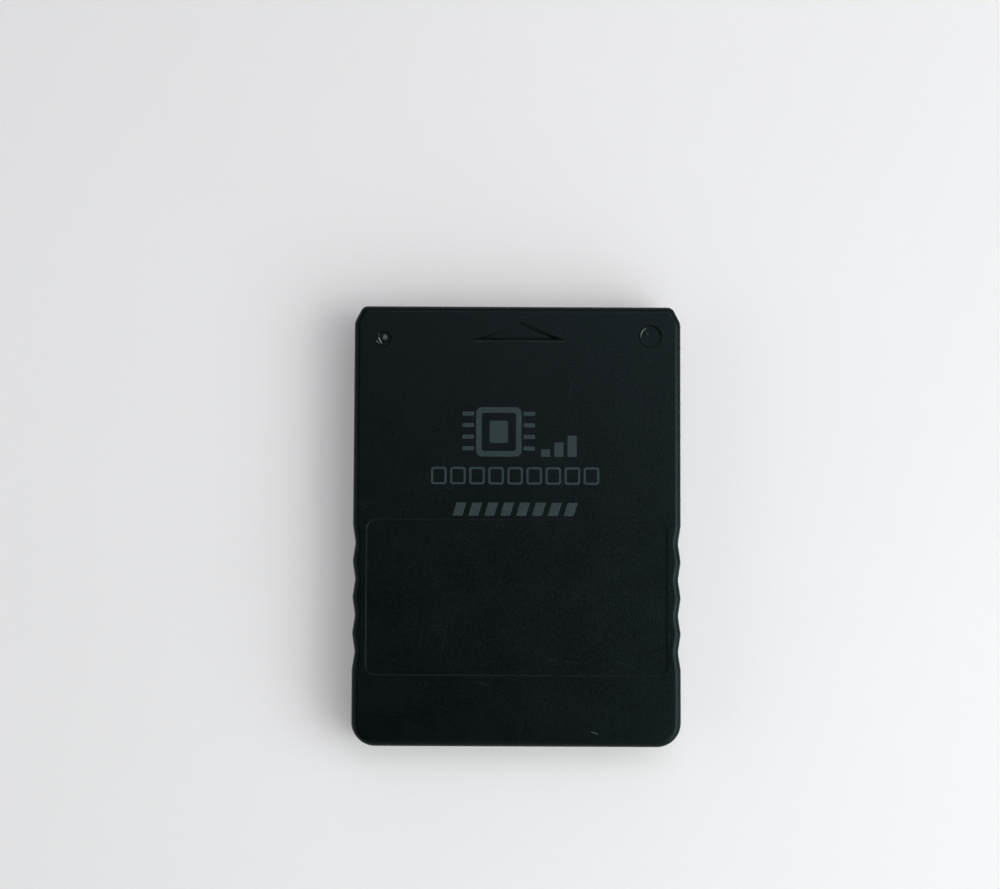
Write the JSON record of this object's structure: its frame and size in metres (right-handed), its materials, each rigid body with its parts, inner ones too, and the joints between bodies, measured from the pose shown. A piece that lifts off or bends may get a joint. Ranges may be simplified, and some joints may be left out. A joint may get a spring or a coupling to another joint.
{
  "type": "memory card",
  "caption": "Flat black moulded memory card for a game console, with a sunk label panel, waved finger grips and contact windows at its insertion end.",
  "frame": {"origin": "under the middle of the card, on the plane of its rear face", "axes": "+Z out of the front face, +Y towards the insertion end, +X to the right when the front is read with the insertion end up"},
  "size_m": [0.041, 0.055, 0.0075],
  "materials": {
    "shell_plastic": "black moulded ABS with a fine satin grain",
    "board_laminate": "green solder mask over glass-fibre laminate",
    "contact_plating": "thin gold plating over copper",
    "chip_package": "dark moulded epoxy",
    "tinned_metal": "tinned, dull",
    "crystal_ceramic": "dark unglazed ceramic",
    "crystal_lid_metal": "plain nickel-plated lid",
    "tantalum_case": "moulded epoxy",
    "capacitor_ceramic": "fired ceramic",
    "resistor_film": "coated film on ceramic"
  },
  "bodies": {
    "root": {"front_shell": "shell_plastic", "rear_shell": "shell_plastic", "circuit_board": "board_laminate", "edge_contacts": "contact_plating", "flash_memory_body": "chip_package", "flash_memory_leads": "tinned_metal", "controller_body": "chip_package", "controller_leads": "tinned_metal", "crystal_base": "crystal_ceramic", "crystal_lid": "crystal_lid_metal", "regulator_body": "chip_package", "regulator_leads": "tinned_metal", "bulk_capacitor_body": "tantalum_case", "bulk_capacitor_terminals": "tinned_metal", "ceramic_capacitor_bodies": "capacitor_ceramic", "ceramic_capacitor_terminals": "tinned_metal", "resistor_bodies": "resistor_film", "resistor_terminals": "tinned_metal", "diode_body": "chip_package", "diode_terminals": "tinned_metal"}
  },
  "joints": []
}
